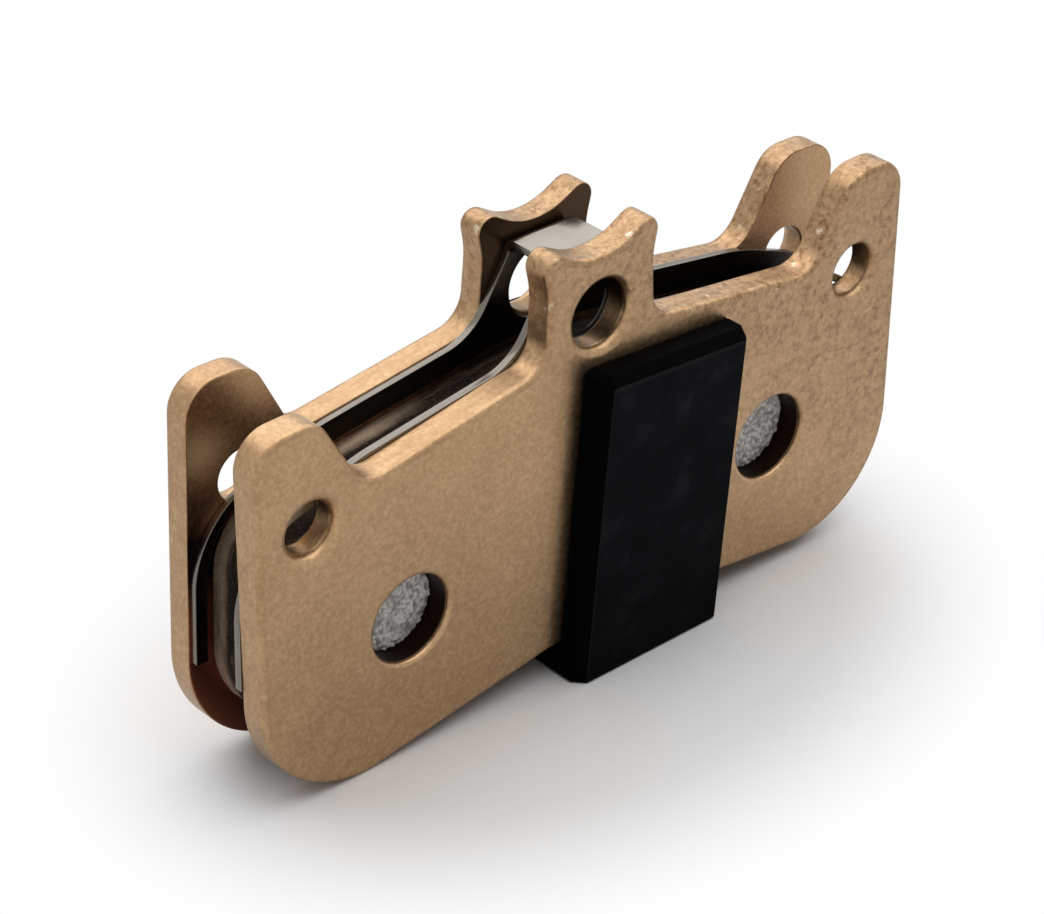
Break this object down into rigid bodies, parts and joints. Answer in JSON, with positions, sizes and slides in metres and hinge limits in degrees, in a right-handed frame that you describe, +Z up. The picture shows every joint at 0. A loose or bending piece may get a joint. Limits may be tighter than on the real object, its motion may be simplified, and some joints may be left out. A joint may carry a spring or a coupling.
{
  "type": "bicycle disc brake pad pair",
  "caption": "Bicycle disc brake pads on tan steel backing plates, set face to face on a leaf return spring and pinched together by a black U-shaped plastic transport clip.",
  "frame": {"origin": "on the floor, under the middle of the pads and midway between them", "axes": "+X along the pads, +Y from the front pad to the rear pad, +Z up"},
  "size_m": [0.053, 0.012, 0.0299],
  "materials": {
    "plate": "matte",
    "friction": "rough",
    "spring": "satin",
    "clip": "matte"
  },
  "bodies": {
    "root": {"front_backing_plate": "plate", "rear_backing_plate": "plate", "front_friction_block": "friction", "rear_friction_block": "friction", "return_spring": "spring", "transport_clip": "clip"}
  },
  "joints": []
}
